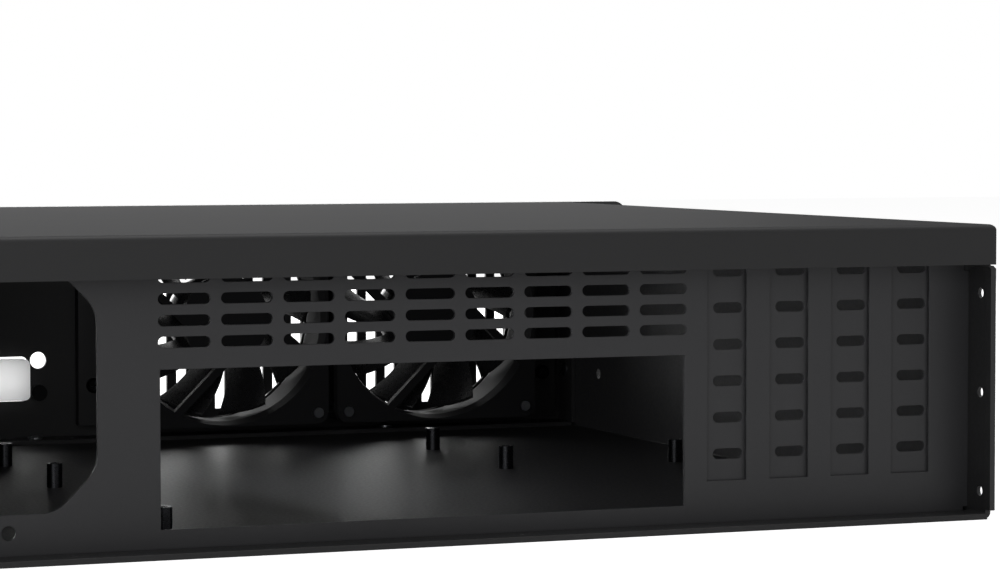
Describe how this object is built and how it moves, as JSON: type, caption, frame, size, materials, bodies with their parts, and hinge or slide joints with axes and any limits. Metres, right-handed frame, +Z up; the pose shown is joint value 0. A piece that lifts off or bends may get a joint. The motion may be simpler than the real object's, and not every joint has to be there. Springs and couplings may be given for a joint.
{
  "type": "rackmount server case",
  "caption": "Two-unit rackmount server case with lift-off cover, front fans, sprung power button, drive cage and openings for a board and power supply.",
  "frame": {"origin": "middle of the underside of the whole case, handles and ears included", "axes": "+X to the power supply side, +Y to the rear, +Z up"},
  "size_m": [0.4826, 0.376, 0.0886],
  "materials": {
    "case": "fine satin black powder coat on steel sheet",
    "panel": "fine satin black powder coat on steel sheet",
    "zinc": "bright zinc plate",
    "black_screw": "black oxide",
    "fan_plastic": "moulded black PBT",
    "rotor_plastic": "moulded black PBT, half gloss",
    "steel": "ground steel",
    "bronze": "sintered bronze",
    "windings": "enamelled copper on laminated steel",
    "ferrite": "bonded ferrite",
    "post": "dark nickel plate",
    "button_plastic": "pale grey ABS",
    "light": "diffused lens",
    "handle": "black anodised"
  },
  "bodies": {
    "chassis": {"base_tray": "case", "rear_panel": "panel", "rear_rivets": "zinc", "lid_screws": "black_screw", "lid_nuts": "zinc", "front_panel": "case", "front_rivets": "zinc", "fan_bracket": "case", "bracket_screws": "black_screw", "fan_frame_left": "fan_plastic", "fan_frame_right": "fan_plastic", "fan_bearing_left": "bronze", "fan_bearing_right": "bronze", "fan_stator_left": "windings", "fan_stator_right": "windings", "fan_screws": "zinc", "slot_cover_1": "panel", "slot_cover_2": "panel", "slot_cover_3": "panel", "slot_cover_4": "panel", "slot_cover_screws": "zinc", "board_posts": "post", "switch_bracket": "zinc", "switch_bracket_screws": "zinc", "power_switch": "fan_plastic", "status_light": "light", "light_holder": "fan_plastic", "drive_cage": "case", "drive_cage_screws": "zinc", "handle_left": "handle", "handle_right": "handle", "handle_screws": "black_screw"},
    "cover": {"lid": "case"},
    "rotor_left": {"fan_rotor_left": "rotor_plastic", "fan_shaft_left": "steel", "fan_magnet_left": "ferrite"},
    "rotor_right": {"fan_rotor_right": "rotor_plastic", "fan_shaft_right": "steel", "fan_magnet_right": "ferrite"},
    "button": {"power_button": "button_plastic", "button_clip": "steel", "switch_plunger": "button_plastic"}
  },
  "joints": [
    {"name": "cover_lift", "type": "slide", "parent": "chassis", "child": "cover", "axis": [0, 0, 1], "range_m": [0, 0.06]},
    {"name": "fan_left_spin", "type": "hinge", "parent": "chassis", "child": "rotor_left", "pos_m": [-0.0669, -0.1333, 0.0468], "axis": [0, 1, 0], "continuous": true},
    {"name": "fan_right_spin", "type": "hinge", "parent": "chassis", "child": "rotor_right", "pos_m": [-0.1503, -0.1333, 0.0468], "axis": [0, 1, 0], "continuous": true},
    {"name": "power_button_press", "type": "slide", "parent": "chassis", "child": "button", "axis": [0, 1, 0], "range_m": [0, 0.0016], "stiffness_N_per_m": 900}
  ]
}
